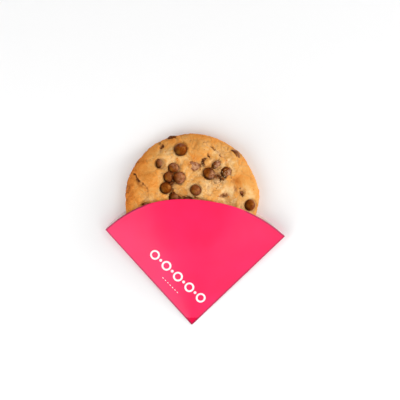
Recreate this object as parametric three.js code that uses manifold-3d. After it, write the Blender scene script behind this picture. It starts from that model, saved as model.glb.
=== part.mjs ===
// A chocolate chip cookie in a folded card sleeve, lying on its back with the shown side up.
// Millimetres, +Z up. The origin is on the table under the middle of the cookie, and +Y runs
// from the sleeve's closed tip to its open mouth.
import * as THREE from "three";
import { ConvexGeometry } from "three/addons/geometries/ConvexGeometry.js";
import { mergeVertices } from "three/addons/utils/BufferGeometryUtils.js";
import Module from "manifold-3d";

const wasm = await Module();
wasm.setup();

// Driving dimensions of the sleeve: a quarter disc of card, folded and glued along its two edges
const sleeveEdge = 88.5; // from the tip to each corner of the mouth
const sleeveHalfAngle = THREE.MathUtils.degToRad(44); // from the middle line to each edge
const sleeveTip = new THREE.Vector2(3.2, -85.6);
const cardThickness = 0.4;
const seamWidth = 1; // where the two layers are one, along each edge
const tipRise = cardThickness; // height of the edges' inner line at the tip
const cornerRise = 7; // and at the two corners, which stand clear of the table
const frontDip = 1.9; // the front's mouth is drawn back in the middle, where it climbs the cookie
const dipPower = 5; // how narrow that stretch is
const backExtra = 3.4; // the back, which lies flat, reaches past the front
const extraPower = 0.6;
const leftBulge = 0.4; // both reach this much further halfway to the left corner
const rightDraw = 1.3; // and this much less halfway to the right one

// Driving dimensions of the cookie
const cookieRadius = 46.2;
const waistHeight = 7; // where the cookie is widest
const crownHeight = 17.4; // top of the dough, without its lumps
const footRadius = 42.6;
const fitGap = 0.3;
const cookieBase = cardThickness + fitGap;
const crownPower = 3.3; // how square the dome is across
const crownRound = 2.2; // and how square it is in height
const ringCount = 27; // rings of dough from the middle to the waist
const ringSpread = 0.45;
const footRings = 3;

// The room that the sleeve keeps round the cookie: its own, rounder outline
const roomSide = 1.3;
const roomCrown = 2.2;
const roomSegments = 56;
const roomSteps = 7;
const headroom = 60; // more than anything here is high

const goldenTurn = 2.399963;

// Broad lumps of the dough: a sum of waves, each turned by the golden angle from the last
const waveCount = 9;
const longestWave = 36;
const waveShrink = 0.84;
const waveHeight = 0.015;

function lumpsAt(x, y) {
  let height = 0;
  for (let i = 0; i < waveCount; i++) {
    const wavelength = longestWave * waveShrink ** i;
    const turn = goldenTurn * i;
    const along = x * Math.cos(turn) + y * Math.sin(turn);
    height += waveHeight * wavelength * Math.sin((2 * Math.PI * along) / wavelength + 1.7 * i);
  }
  return height;
}

// Named swellings and hollows of the top: place, radius and height, negative for a hollow
const swellings = [
  { name: "left plate", x: -30, y: 14.5, radius: 11, height: 0.9 },
  { name: "top plate", x: 4, y: 38, radius: 9, height: 0.5 },
  { name: "right plate", x: 37, y: 14, radius: 8.5, height: 1 },
  { name: "upper right plate", x: 27, y: 29, radius: 8, height: 0.6 },
  { name: "middle crater", x: 13, y: 20, radius: 13, height: -1.1 },
  { name: "cluster hollow", x: -13.5, y: 13, radius: 9.5, height: -0.8 },
  { name: "right hollow", x: 28, y: 12, radius: 6, height: -0.9 },
  { name: "pale swelling", x: 10.5, y: 4.5, radius: 7, height: 0.5 },
  { name: "rim dimple", x: -22.4, y: 36.8, radius: 3.2, height: -1.3 },
  { name: "lower dimple", x: 21.9, y: 4, radius: 3.4, height: -1.3 },
  { name: "top dimple", x: 10.8, y: 31.2, radius: 3, height: -1 },
  { name: "side dimple", x: 34.3, y: 7.4, radius: 3.2, height: -1.1 },
];

// Cracks and ledges of the crust: a groove along each path, with the crust standing higher on
// its left side than on its right
const cracks = [
  {
    name: "left crack",
    depth: 1.1,
    width: 1.3,
    ledge: 0.8,
    path: [[-42, 18], [-39, 13], [-34.9, 9.6], [-31, 7.6], [-30, 3]],
  },
  {
    name: "upper right crack",
    depth: 0.8,
    width: 1.2,
    ledge: -0.6,
    path: [[9, 39], [13.5, 36.6], [17.4, 34.4], [20.6, 31], [21.6, 27]],
  },
  {
    name: "right ledge",
    depth: 0.6,
    width: 1.3,
    ledge: -0.9,
    path: [[36, 23], [31.5, 19], [28.6, 13.4], [29.4, 8]],
  },
  {
    name: "crater ledge",
    depth: 0.5,
    width: 1.3,
    ledge: 0.7,
    path: [[3.5, 12.5], [9, 11.5], [14, 8.6], [20, 9.6]],
  },
  {
    name: "rim crack",
    depth: 0.9,
    width: 1.1,
    ledge: 0,
    path: [[-25, 41], [-22.6, 37.4], [-22.8, 33.4]],
  },
  {
    name: "top crack",
    depth: 0.7,
    width: 1.1,
    ledge: 0.3,
    path: [[1, 45.5], [2, 40.5], [0.4, 36.5]],
  },
];
const ledgeReach = 4;

// How far a point is from a path, and on which side of it
function besidePath(path, x, y) {
  let nearest = { away: Infinity, side: 0 };
  for (let i = 0; i + 1 < path.length; i++) {
    const [[ax, ay], [bx, by]] = [path[i], path[i + 1]];
    const [runX, runY] = [bx - ax, by - ay];
    const share = ((x - ax) * runX + (y - ay) * runY) / (runX * runX + runY * runY);
    const along = Math.min(1, Math.max(0, share));
    const away = Math.hypot(x - ax - along * runX, y - ay - along * runY);
    if (away < nearest.away) {
      nearest = { away, side: Math.sign(runX * (y - ay) - runY * (x - ax)) };
    }
  }
  return nearest;
}

function crackAt(x, y) {
  return cracks.reduce((height, crack) => {
    const { away, side } = besidePath(crack.path, x, y);
    const groove = crack.depth * Math.exp(-((away / crack.width) ** 2));
    const ledge = 0.5 * crack.ledge * side * (away / (away + 0.5)) * Math.exp(-((away / ledgeReach) ** 2));
    return height + ledge - groove;
  }, 0);
}

function swellAt(x, y) {
  return swellings.reduce((height, s) => {
    const away = Math.hypot(x - s.x, y - s.y) / s.radius;
    return height + s.height * Math.exp(-2 * away * away);
  }, 0);
}

// The cookie's edge, as uneven as a spoonful of dough that has spread
function rimRadius(angle) {
  const wobble =
    0.008 * Math.sin(3 * angle + 1) + 0.006 * Math.sin(5 * angle + 2.2) + 0.005 * Math.sin(9 * angle + 0.5);
  return cookieRadius * (1 + wobble);
}

// Height of a dome with the given side and crown, at a share of its radius
function domeHeight(share, crown) {
  const fall = 1 - Math.min(share, 1) ** crownPower;
  return waistHeight + (crown - waistHeight) * fall ** (1 / crownRound);
}

function topHeight(x, y) {
  const share = Math.hypot(x, y) / rimRadius(Math.atan2(y, x));
  const fade = Math.min(1, Math.max(0, (1 - share) / 0.16)); // the relief dies out down the side
  return domeHeight(share, crownHeight) + fade * (lumpsAt(x, y) + swellAt(x, y) + crackAt(x, y));
}

function topNormal(x, y) {
  const step = 0.6;
  const slopeX = (topHeight(x + step, y) - topHeight(x - step, y)) / (2 * step);
  const slopeY = (topHeight(x, y + step) - topHeight(x, y - step)) / (2 * step);
  return new THREE.Vector3(-slopeX, -slopeY, 1).normalize();
}

function toSolid(geometry) {
  const bare = geometry.clone();
  bare.deleteAttribute("normal");
  bare.deleteAttribute("uv");
  const merged = mergeVertices(bare, 1e-4);
  return new wasm.Manifold(
    new wasm.Mesh({
      numProp: 3,
      vertProperties: new Float32Array(merged.attributes.position.array),
      triVerts: new Uint32Array(merged.index.array),
    }),
  );
}

function toGeometry(solid) {
  const mesh = solid.getMesh();
  const geometry = new THREE.BufferGeometry();
  geometry.setAttribute("position", new THREE.BufferAttribute(mesh.vertProperties, 3));
  geometry.setIndex(new THREE.BufferAttribute(mesh.triVerts, 1));
  geometry.computeVertexNormals();
  return geometry;
}

// The dough: rings of 6, 12, 18 ... points over the top, then rings down the side to a flat base
function doughGeometry() {
  const points = [0, 0, topHeight(0, 0)];
  const triangles = [];
  const ringStart = (k) => (k === 0 ? 0 : 1 + 3 * k * (k - 1));
  const ringIndex = (k, i) => (k === 0 ? 0 : ringStart(k) + (((i % (6 * k)) + 6 * k) % (6 * k)));
  for (let k = 1; k <= ringCount; k++) {
    const share =
      (1 - ringSpread) * (k / ringCount) + ringSpread * Math.sin((Math.PI / 2) * (k / ringCount));
    for (let i = 0; i < 6 * k; i++) {
      const angle = (2 * Math.PI * i) / (6 * k);
      const radius = share * rimRadius(angle);
      const [x, y] = [radius * Math.cos(angle), radius * Math.sin(angle)];
      points.push(x, y, topHeight(x, y));
    }
    for (let sector = 0; sector < 6; sector++) {
      for (let i = 0; i < k; i++) {
        const outer = sector * k + i;
        const inner = sector * (k - 1) + i;
        triangles.push(ringIndex(k, outer), ringIndex(k, outer + 1), ringIndex(k - 1, inner));
        if (i < k - 1) {
          triangles.push(ringIndex(k, outer + 1), ringIndex(k - 1, inner + 1), ringIndex(k - 1, inner));
        }
      }
    }
  }
  const around = 6 * ringCount;
  let above = ringStart(ringCount);
  for (let step = 1; step <= footRings; step++) {
    const turn = (Math.PI / 2) * (step / footRings);
    const below = points.length / 3;
    for (let i = 0; i < around; i++) {
      const angle = (2 * Math.PI * i) / around;
      const overhang = cookieRadius - footRadius;
      const radius = rimRadius(angle) - overhang * (1 - Math.cos(turn));
      const height = waistHeight - (waistHeight - cookieBase) * Math.sin(turn);
      points.push(radius * Math.cos(angle), radius * Math.sin(angle), height);
    }
    for (let i = 0; i < around; i++) {
      const next = (i + 1) % around;
      triangles.push(above + i, below + i, below + next, above + i, below + next, above + next);
    }
    above = below;
  }
  const middle = points.length / 3;
  points.push(0, 0, cookieBase);
  for (let i = 0; i < around; i++) {
    triangles.push(above + i, middle, above + ((i + 1) % around));
  }
  const geometry = new THREE.BufferGeometry();
  geometry.setAttribute("position", new THREE.Float32BufferAttribute(points, 3));
  geometry.setIndex(triangles);
  return geometry;
}

// The chips that show, and a few more in the half that the sleeve holds. size is the width of
// the chip, proud is how far it stands out of the dough, and lean tips its point sideways.
const chips = [
  { name: "chip_01", x: -8.7, y: 34.9, size: 9.4, proud: 3.4, lean: [0.1, 0.1] },
  { name: "chip_02", x: -22.3, y: 24.5, size: 7, proud: 1.1, lean: [0.5, 0.1] },
  { name: "chip_03", x: -13.2, y: 21.8, size: 6.4, proud: 2.8, lean: [0, 0.1] },
  { name: "chip_04", x: -9, y: 15.2, size: 8.4, proud: 3.6, lean: [0, -0.1] },
  { name: "chip_05", x: -16.4, y: 15.3, size: 6.2, proud: 2.6, lean: [-0.1, 0] },
  { name: "chip_06", x: -17.7, y: 8, size: 8, proud: 3.2, lean: [-0.1, -0.2] },
  { name: "chip_07", x: -11.6, y: 2.1, size: 6.8, proud: 1.6, lean: [0, 0.3] },
  { name: "chip_08", x: 2.4, y: 7.3, size: 7.8, proud: 3, lean: [0.1, 0] },
  { name: "chip_09", x: 40.2, y: -1.5, size: 8.2, proud: 3, lean: [0, 0] },
  { name: "chip_10", x: 10.4, y: 19.2, size: 8.2, proud: 2.6, lean: [-0.2, 0] },
  { name: "chip_11", x: 16, y: 25.4, size: 6.6, proud: 2.4, lean: [0.3, 0.3] },
  { name: "chip_12", x: 22.8, y: 20.1, size: 7.4, proud: 2.4, lean: [0, -0.1] },
  { name: "chip_13", x: 16.7, y: 13.6, size: 7.2, proud: 1.6, lean: [0.2, -0.3] },
  { name: "chip_14", x: 8.6, y: 26.4, size: 5.6, proud: 1, lean: [-0.5, 0.1] },
  { name: "chip_15", x: 1.3, y: 24, size: 7.4, proud: 1, lean: [0.1, 0.1] },
  { name: "chip_16", x: -15.6, y: 42.4, size: 7.6, proud: 1.3, lean: [-0.9, 2.4] },
  { name: "chip_17", x: 29.3, y: 33.8, size: 7.6, proud: 1.3, lean: [1.6, 1.8] },
  { name: "chip_18", x: -31.2, y: -3.6, size: 5.6, proud: 1, lean: [0, 0.3] },
  { name: "chip_19", x: -3.2, y: -0.9, size: 8.2, proud: 1.4, lean: [0, 0.2] },
  { name: "chip_20", x: 34, y: 6.9, size: 4.4, proud: 0.8, lean: [0.2, 0] },
  { name: "chip_21", x: -14, y: -24, size: 8, proud: 0.8, lean: [0, 0] },
  { name: "chip_22", x: 12, y: -15, size: 8.4, proud: 1.4, lean: [0.1, 0] },
  { name: "chip_23", x: 26, y: -22, size: 7.8, proud: 1.2, lean: [0, 0.1] },
  { name: "chip_24", x: -2, y: -31, size: 8, proud: 1.2, lean: [0, 0] },
];
const chipSegments = 12;
// A drop's outline from the middle of its base to its point, as shares of its radius
const chipOutline = [
  [0, 0],
  [0.82, 0.03],
  [1, 0.3],
  [0.9, 0.72],
  [0.6, 1.08],
  [0.24, 1.24],
  [0, 1.34],
];
const chipHeightShare = chipOutline[chipOutline.length - 1][1];

function chipMatrix(chip) {
  const radius = chip.size / 2;
  const axis = topNormal(chip.x, chip.y);
  axis.x += chip.lean[0];
  axis.y += chip.lean[1];
  axis.normalize();
  const height = chipHeightShare * radius;
  const base = new THREE.Vector3(chip.x, chip.y, topHeight(chip.x, chip.y));
  base.addScaledVector(axis, chip.proud - height);
  const turn = new THREE.Quaternion().setFromUnitVectors(new THREE.Vector3(0, 0, 1), axis);
  return new THREE.Matrix4().compose(base, turn, new THREE.Vector3(1, 1, 1));
}

// A chip, or with a margin the pocket that it leaves in the dough
function chipGeometry(chip, margin) {
  const radius = chip.size / 2;
  const outline = chipOutline.map(([across, up], i) => {
    const atEnd = i === 0 ? -margin : i === chipOutline.length - 1 ? margin : 0;
    const wide = across === 0 ? 0 : across * radius + margin;
    const rise = (up - chipHeightShare / 2) * (1 + margin / radius) + chipHeightShare / 2;
    return new THREE.Vector2(wide, rise * radius + atEnd * 0.5);
  });
  const geometry = new THREE.LatheGeometry(outline, chipSegments);
  geometry.rotateX(Math.PI / 2); // the lathe turns about Y, and the chip stands on Z
  return geometry.applyMatrix4(chipMatrix(chip));
}

// Rings of points round the room that the cookie needs, from the crown to the foot.
// grow moves them outwards, from the card's inner face to its outer one.
function roomPoints(grow) {
  const points = [];
  const addRing = (radius, height) => {
    for (let i = 0; i < roomSegments; i++) {
      const angle = (2 * Math.PI * i) / roomSegments;
      points.push(new THREE.Vector3(radius * Math.cos(angle), radius * Math.sin(angle), height));
    }
  };
  const side = cookieRadius + roomSide;
  for (let step = 1; step <= roomSteps; step++) {
    const share = Math.sin((Math.PI / 2) * (step / roomSteps)) ** 0.8;
    const steepness = share ** 6;
    const height = domeHeight(share, crownHeight + roomCrown) + grow * (1 - steepness);
    addRing(share * side + grow * steepness, height);
  }
  addRing(side - 1 + grow, waistHeight / 2);
  addRing(footRadius + roomSide, cardThickness - grow);
  return points;
}

// The four places where the two faces of the card meet, set back from the seam by inset
function seamPoints(inset, grow) {
  const alongEdge = (share, rise) => {
    const reach = sleeveEdge * share;
    return [-1, 1].flatMap((side) => {
      const x = sleeveTip.x + side * reach * Math.sin(sleeveHalfAngle);
      const y = sleeveTip.y + reach * Math.cos(sleeveHalfAngle);
      const inX = -side * inset * Math.cos(sleeveHalfAngle);
      const inY = inset * Math.sin(sleeveHalfAngle);
      const heights = grow > 0 ? [rise - grow, rise + grow] : [rise];
      return heights.map((z) => new THREE.Vector3(x + inX, y + inY, z));
    });
  };
  const pastMouth = 1.06; // the hull reaches past the mouth, which is cut afterwards
  const tipY = sleeveTip.y + inset / Math.sin(sleeveHalfAngle);
  const tipHeights = grow > 0 ? [tipRise - grow, tipRise + grow] : [tipRise];
  const tip = tipHeights.map((z) => new THREE.Vector3(sleeveTip.x, tipY, z));
  return [...tip, ...alongEdge(pastMouth, tipRise + (cornerRise - tipRise) * pastMouth)];
}

// Everything past the mouth's arc. The arc starts and ends at the corners, and reaches
// middleExtra further than them in the middle; a high power keeps that to a narrow stretch.
function pastMouthGeometry(middleExtra, power) {
  const far = 60;
  const steps = 40;
  const outline = [];
  const spread = 1.25;
  for (let i = 0; i <= steps; i++) {
    const share = -spread + (2 * spread * i) / steps; // from -1 at one corner to 1 at the other
    const within = Math.max(-1, Math.min(1, share));
    const middle = Math.cos((within * Math.PI) / 2) ** power;
    const skew = within < 0 ? leftBulge : rightDraw;
    const reach = sleeveEdge + middleExtra * middle - skew * Math.sin(within * Math.PI);
    const angle = share * sleeveHalfAngle;
    outline.push(new THREE.Vector2(reach * Math.sin(angle), reach * Math.cos(angle)));
  }
  outline.push(new THREE.Vector2(sleeveEdge + far, far));
  outline.push(new THREE.Vector2(sleeveEdge + far, sleeveEdge + far));
  outline.push(new THREE.Vector2(-sleeveEdge - far, sleeveEdge + far));
  outline.push(new THREE.Vector2(-sleeveEdge - far, far));
  const slab = new THREE.ExtrudeGeometry(new THREE.Shape(outline.reverse()), {
    depth: 2 * headroom,
    bevelEnabled: false,
  });
  slab.translate(sleeveTip.x, sleeveTip.y, -headroom);
  return slab;
}

// The half of space that lies over the plane of the two seams
function overSeamsGeometry() {
  const slab = new THREE.BoxGeometry(8 * headroom, 8 * headroom, headroom);
  slab.translate(0, 0, headroom / 2);
  slab.rotateX(Math.atan((cornerRise - tipRise) / (sleeveEdge * Math.cos(sleeveHalfAngle))));
  slab.translate(sleeveTip.x, sleeveTip.y, tipRise);
  return slab;
}

function sleeveSolid() {
  const outer = toSolid(new ConvexGeometry([...roomPoints(cardThickness), ...seamPoints(0, cardThickness)]));
  const inner = toSolid(new ConvexGeometry([...roomPoints(0), ...seamPoints(seamWidth, 0)]));
  const backCut = toSolid(pastMouthGeometry(backExtra, extraPower));
  const frontCut = toSolid(pastMouthGeometry(-frontDip, dipPower)).intersect(toSolid(overSeamsGeometry()));
  return outer.subtract(inner).subtract(backCut).subtract(frontCut);
}

const doughLook = new THREE.MeshStandardMaterial({ color: 0xdc9a55, roughness: 0.85 });
const chipLook = new THREE.MeshStandardMaterial({ color: 0x6b3a1c, roughness: 0.5 });
const cardLook = new THREE.MeshStandardMaterial({ color: 0xfb3a6c, roughness: 0.6, side: THREE.DoubleSide });

function named(name, geometry, material) {
  const mesh = new THREE.Mesh(geometry, material);
  mesh.name = name;
  return mesh;
}

const group = new THREE.Group();

let dough = toSolid(doughGeometry());
for (const chip of chips) {
  dough = dough.subtract(toSolid(chipGeometry(chip, fitGap)));
  group.add(named(chip.name, toGeometry(toSolid(chipGeometry(chip, 0))), chipLook));
}
group.add(named("cookie", toGeometry(dough), doughLook));
group.add(named("sleeve", toGeometry(sleeveSolid()), cardLook));

export default group;
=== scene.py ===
# A chocolate chip cookie in a folded card sleeve, lying on its back and seen from straight above.
# Sizes are in millimetres until a mesh is made, unless a note says otherwise.
import math
import random

import bmesh
import bpy
import numpy as np
from mathutils import Matrix, Vector, noise
from mathutils.bvhtree import BVHTree


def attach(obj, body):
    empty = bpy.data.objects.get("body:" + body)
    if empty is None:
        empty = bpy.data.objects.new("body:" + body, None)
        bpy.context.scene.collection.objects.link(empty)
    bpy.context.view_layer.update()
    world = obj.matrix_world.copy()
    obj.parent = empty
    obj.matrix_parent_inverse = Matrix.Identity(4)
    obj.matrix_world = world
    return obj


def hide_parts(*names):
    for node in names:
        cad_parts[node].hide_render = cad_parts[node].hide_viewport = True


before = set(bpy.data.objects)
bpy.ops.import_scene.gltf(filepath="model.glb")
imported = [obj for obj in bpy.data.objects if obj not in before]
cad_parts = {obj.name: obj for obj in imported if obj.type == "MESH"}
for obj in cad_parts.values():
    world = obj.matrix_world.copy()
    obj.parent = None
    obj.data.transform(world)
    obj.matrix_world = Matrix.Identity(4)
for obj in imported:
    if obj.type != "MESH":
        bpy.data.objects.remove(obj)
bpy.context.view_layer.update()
print("frame loaded:", len(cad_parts), "nodes")

mm = 0.001
goldenTurn = 2.399963
aboveAll = 60  # a height that no piece reaches
missed = -99.0  # the height given where a ray meets nothing


def smoothStep(low, high, value):
    share = np.clip((value - low) / (high - low), 0, 1)
    return share * share * (3 - 2 * share)


def bell(distance, width, power=2):
    return np.exp(-((distance / width) ** power))


def heading(degrees):
    return math.cos(math.radians(degrees)), math.sin(math.radians(degrees))


# Soft noise from about -1 to 1, with its largest waves as long as size
def fractalAt(points, size, octaves, seed):
    shift = Vector((17.3, 9.1, 5.7)) * seed
    return np.array([noise.fractal(Vector(p) / size + shift, 0.9, 2.1, octaves) for p in points])


# Distance to the nearest border of an irregular pattern of cells
def cellBorderAt(points, size, seed):
    shift = Vector((3.1, 8.7, 1.9)) * seed
    found = [noise.voronoi(Vector(p) / size + shift)[0] for p in points]
    return np.array([(near[1] - near[0]) * size for near in found])


def makePiece(name, vertices, faces, materials, faceMaterials=None):
    mesh = bpy.data.meshes.new(name)
    mesh.from_pydata((np.asarray(vertices) * mm).tolist(), [], faces)
    for material in materials:
        mesh.materials.append(material)
    if faceMaterials is not None:
        mesh.polygons.foreach_set("material_index", faceMaterials)
    mesh.shade_smooth()
    mesh.update()
    piece = bpy.data.objects.new(name, mesh)
    bpy.context.scene.collection.objects.link(piece)
    return piece


# Faces between two rings of points, from where each ring begins
def ringFaces(first, second, around):
    turns = [(i, (i + 1) % around) for i in range(around)]
    return [(first + i, second + i, second + j, first + j) for i, j in turns]


def addAttribute(piece, name, values):
    made = piece.data.attributes.new(name, "FLOAT", "POINT")
    made.data.foreach_set("value", np.asarray(values, np.float32))


# Height of a tree's upper surface at each place
def heightsOver(tree, x, y):
    down = Vector((0, 0, -1))
    hits = [tree.ray_cast(Vector((px, py, aboveAll)), down)[0] for px, py in zip(x, y)]
    return np.array([missed if hit is None else hit.z for hit in hits])


# A colour as a paint program names it
def paint(code):
    parts = [int(code[i:i + 2], 16) / 255 for i in (0, 2, 4)]
    return [p / 12.92 if p <= 0.04045 else ((p + 0.055) / 1.055) ** 2.4 for p in parts] + [1]


# Nodes of a material. Any input may be a number, a colour or another node's output.
class Shade:
    def __init__(self, name):
        self.material = bpy.data.materials.new(name)
        self.material.use_nodes = True
        self.tree = self.material.node_tree
        self.shader = self.tree.nodes["Principled BSDF"]
        self.place = self.tree.nodes.new("ShaderNodeTexCoord").outputs["Object"]

    def feed(self, socket, value):
        if isinstance(value, bpy.types.NodeSocket):
            self.tree.links.new(value, socket)
        else:
            socket.default_value = value

    def set(self, **inputs):
        for name, value in inputs.items():
            self.feed(self.shader.inputs[name.replace("_", " ")], value)

    def attribute(self, name):
        node = self.tree.nodes.new("ShaderNodeAttribute")
        node.attribute_name = name
        return node.outputs["Fac"]

    def noise(self, size, detail=4, rough=0.55, warp=0.0):
        node = self.tree.nodes.new("ShaderNodeTexNoise")
        self.feed(node.inputs["Vector"], self.place)
        self.feed(node.inputs["Scale"], 1 / (size * mm))
        self.feed(node.inputs["Detail"], detail)
        self.feed(node.inputs["Roughness"], rough)
        self.feed(node.inputs["Distortion"], warp)
        return node.outputs["Fac"]

    def math(self, operation, first, second):
        node = self.tree.nodes.new("ShaderNodeMath")
        node.operation = operation
        for socket, value in zip(node.inputs, (first, second)):
            self.feed(socket, value)
        return node.outputs[0]

    # first plus second times amount, counted from second's middle
    def vary(self, first, second, amount):
        return self.math("ADD", first, self.math("MULTIPLY", self.math("SUBTRACT", second, 0.5), amount))

    def range(self, value, low, high, newLow=0.0, newHigh=1.0):
        node = self.tree.nodes.new("ShaderNodeMapRange")
        for socket, given in zip(node.inputs, (value, low, high, newLow, newHigh)):
            self.feed(socket, given)
        return node.outputs[0]

    def ramp(self, value, stops):
        node = self.tree.nodes.new("ShaderNodeValToRGB")
        self.feed(node.inputs[0], value)
        for i, (at, code) in enumerate(stops):
            stop = node.color_ramp.elements[i] if i < 2 else node.color_ramp.elements.new(at)
            stop.position = at
            stop.color = paint(code)
        return node.outputs[0]

    def mix(self, share, first, second):
        node = self.tree.nodes.new("ShaderNodeMix")
        node.data_type = "RGBA"
        for number, value in ((0, share), (6, first), (7, second)):
            self.feed(node.inputs[number], value)
        return node.outputs[2]

    def bump(self, height, strength, depth, after=None):
        node = self.tree.nodes.new("ShaderNodeBump")
        self.feed(node.inputs["Height"], height)
        self.feed(node.inputs["Strength"], strength)
        self.feed(node.inputs["Distance"], depth * mm)
        if after is not None:
            self.feed(node.inputs["Normal"], after)
        return node.outputs[0]


doughLook = {
    # from pale to browned
    "tones": [(0.0, "f8dcaa"), (0.25, "eec081"), (0.45, "e4a456"), (0.64, "e5923c"), (0.84, "cf7726"),
              (1.0, "8e4a16")],
    # painted shade in creases, cracks, holes and round the chips: its warm first step, then its darkest
    "paintedCreaseShade": "b0621e",
    "crevice": "421e08",
    # colour of chocolate smeared on the dough, and of painted shade round the chips and in a few patches
    "smearAndShade": "64301c",
    "mottle": (7, 0.5),  # size and strength of the broad patches
    "speckle": (0.9, 0.28),
    "crumb": (0.5, 0.85, 0.25),  # size, strength and depth of the finest bumps
    "grain": (1.8, 0.6, 0.4),
    "roughness": 0.8,
    "shine": 0.2,
}


def makeDoughMaterial():
    look = doughLook
    shade = Shade("bakedDough")
    tone = shade.attribute("browned")
    tone = shade.vary(tone, shade.noise(look["mottle"][0], 5, 0.62, 0.5), look["mottle"][1])
    tone = shade.vary(tone, shade.noise(look["speckle"][0], 3, 0.6), look["speckle"][1])
    colour = shade.ramp(tone, look["tones"])
    # painted shade in creases, cracks and holes, broken up by noise
    broken = shade.range(shade.noise(1.6, 2), 0.3, 0.6, 0.6, 1)
    paintedCreaseShade = shade.math("MULTIPLY", shade.attribute("paintedCreaseShade"), broken)
    colour = shade.mix(shade.range(paintedCreaseShade, 0, 0.6, 0, 0.8), colour, paint(look["paintedCreaseShade"]))
    colour = shade.mix(shade.range(paintedCreaseShade, 0.3, 0.9, 0, 1), colour, paint(look["crevice"]))
    # chocolate smears, and painted shade round the chips and in a few patches
    cloudy = shade.range(shade.noise(2.2, 4), 0.2, 0.45, 0.6, 1)
    smearAndShade = shade.math("MULTIPLY", shade.attribute("smearAndShade"), cloudy)
    colour = shade.mix(smearAndShade, colour, paint(look["smearAndShade"]))
    size, strength, depth = look["crumb"]
    crumb = shade.bump(shade.noise(size, 5, 0.7), strength, depth)
    size, strength, depth = look["grain"]
    grain = shade.bump(shade.noise(size, 5, 0.65, 0.3), strength, depth, crumb)
    shade.set(Base_Color=colour, Roughness=look["roughness"], Normal=grain)
    shade.set(Specular_IOR_Level=look["shine"])
    return shade.material


chocolateLook = {
    "tones": [(0.0, "4b1b02"), (0.4, "702c06"), (0.7, "944a12"), (1.0, "b46c2e")],
    "film": "cf9a7a",
    "dust": "d8ae74",  # where the film is dough
    "sunk": "260b02",  # colour of painted shade near the dough and on each chip's lower left, also of its flat darker tone
    "cloud": (3.6, 1.25),  # size and strength of its lighter and darker places
    "speckle": (0.7, 0.4),
    "patch": 1.7,  # size of the patches of film
    "speck": 0.8,  # and of the dark specks in it
    "sheen": (1, 0.5, 0.05, 1),
    "roughness": (0.26, 0.51),
}


def makeChocolateMaterial():
    look = chocolateLook
    shade = Shade("meltedChocolate")
    tone = shade.vary(0.5, shade.noise(look["cloud"][0], 4, 0.6, 0.6), look["cloud"][1])
    tone = shade.vary(tone, shade.noise(look["speckle"][0], 3), look["speckle"][1])
    colour = shade.ramp(tone, look["tones"])
    patches = shade.range(shade.noise(look["patch"], 4, 0.6), 0.36, 0.52)
    specks = shade.range(shade.noise(look["speck"], 3, 0.6), 0.36, 0.46, 0.35, 1)
    film = shade.math("MULTIPLY", shade.attribute("film"), patches)
    film = shade.math("MULTIPLY", film, specks)
    filmColour = shade.mix(shade.attribute("dusty"), paint(look["film"]), paint(look["dust"]))
    colour = shade.mix(film, colour, filmColour)
    # painted shade near the dough and on each chip's lower left, with some chips' darker tone
    colour = shade.mix(shade.attribute("sunk"), colour, paint(look["sunk"]))
    rough = shade.range(shade.noise(1.3, 3), 0.3, 0.7, *look["roughness"])
    fine = shade.bump(shade.noise(0.5, 4, 0.6), 0.35, 0.08)
    shade.set(Base_Color=colour, Roughness=rough, Normal=fine)
    shade.set(Specular_IOR_Level=0.5, Specular_Tint=look["sheen"])
    return shade.material


# Each face of the card: its colour, the one it shades into and that of its fibres
cardLook = {
    "outside": ("fd1a58", "fa124d", "ff5c8c"),
    "inside": ("fffafa", "faf3f2", "ffffff"),
    # the cut edge is painted dark pink as painted shade, though the card inside is white
    "shadedCutEdge": ("b04a68", "c05a76", "e8a0b4"),
    # the tip's deeper red is painted shade
    "tip": ("de003c", "de003c", "f02a5c"),
    "ink": ("fdf6f6", "f6eeee", "ffffff"),
    # colour of painted shade along the folded edges and the mouth's wings
    "paintedEdgeShade": "861c42",
    "cloud": 22,  # size of its broad patches
    "fibre": 0.35,
    "sheen": (1, 0.6, 0.9, 1),
    "shine": 0.5,
    "tipShine": 0.12,
    "roughness": 0.43,
}


def makeCardMaterial(name, face, coated):
    look = cardLook
    main, deep, pale = (paint(code) for code in look[face])
    shade = Shade(name)
    cloud = shade.noise(look["cloud"], 3, 0.5)
    fibre = shade.noise(look["fibre"], 3, 0.6)
    colour = shade.mix(shade.range(cloud, 0.3, 0.7), main, deep)
    colour = shade.mix(shade.range(fibre, 0.45, 0.8, 0, 0.04), colour, pale)
    if coated:
        # painted shade at the tip
        colour = shade.mix(shade.attribute("tip"), colour, paint(look["tip"][0]))
        # painted shade along the folded edges and the mouth's wings
        edgeShade = shade.math("MULTIPLY", shade.attribute("paintedEdgeShade"), 0.75)
        colour = shade.mix(edgeShade, colour, paint(look["paintedEdgeShade"]))
    rough = shade.vary(look["roughness"], fibre, 0.12)
    surface = shade.bump(fibre, 0.12, 0.04)
    shade.set(Base_Color=colour, Roughness=rough, Normal=surface)
    if coated:
        shine = look["tipShine"] if face == "tip" else look["shine"]
        shade.set(Specular_IOR_Level=shine, Specular_Tint=look["sheen"])
    return shade.material


doughMaterial = makeDoughMaterial()
chocolateMaterial = makeChocolateMaterial()
outsideMaterial = makeCardMaterial("cardOutside", "outside", True)
tipShadeMaterial = makeCardMaterial("cardTipShade", "tip", True)
insideMaterial = makeCardMaterial("cardInside", "inside", False)
shadedCutEdgeMaterial = makeCardMaterial("cardCutEdgeShaded", "shadedCutEdge", False)
inkMaterial = makeCardMaterial("whiteInk", "ink", False)
print("materials made")

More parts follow.
